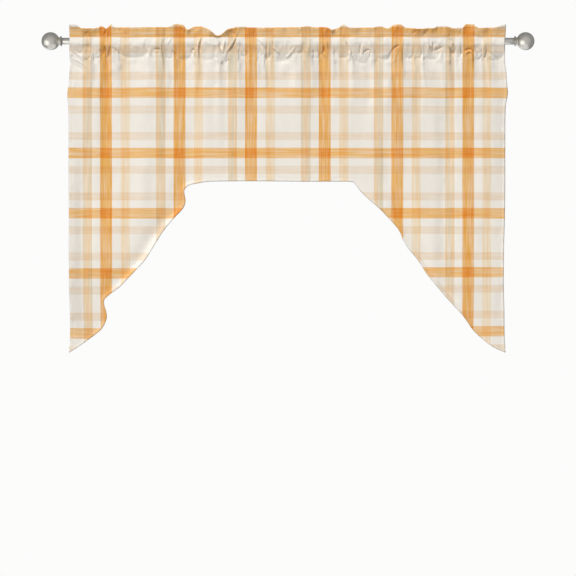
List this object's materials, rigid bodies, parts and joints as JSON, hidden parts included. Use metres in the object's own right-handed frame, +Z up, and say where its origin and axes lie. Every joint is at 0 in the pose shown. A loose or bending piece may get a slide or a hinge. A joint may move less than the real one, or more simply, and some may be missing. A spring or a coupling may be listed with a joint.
{
  "type": "window valance on a curtain rod",
  "caption": "Arched rod-pocket window valance with two pointed tails, hanging gathered on a straight round rod with collared ball finials.",
  "frame": {"origin": "on the rod's axis, halfway along the rod", "axes": "+X to the right as seen from the room, along the rod; +Y towards the window; +Z up"},
  "size_m": [1.37, 0.05, 0.9146],
  "materials": {
    "valance_cloth": "matt plain weave in cream with an orange, peach and tan open plaid",
    "brushed_nickel": "satin brushed nickel"
  },
  "bodies": {
    "root": {"valance": "valance_cloth", "rod": "brushed_nickel", "finial_left": "brushed_nickel", "finial_right": "brushed_nickel"}
  },
  "joints": []
}
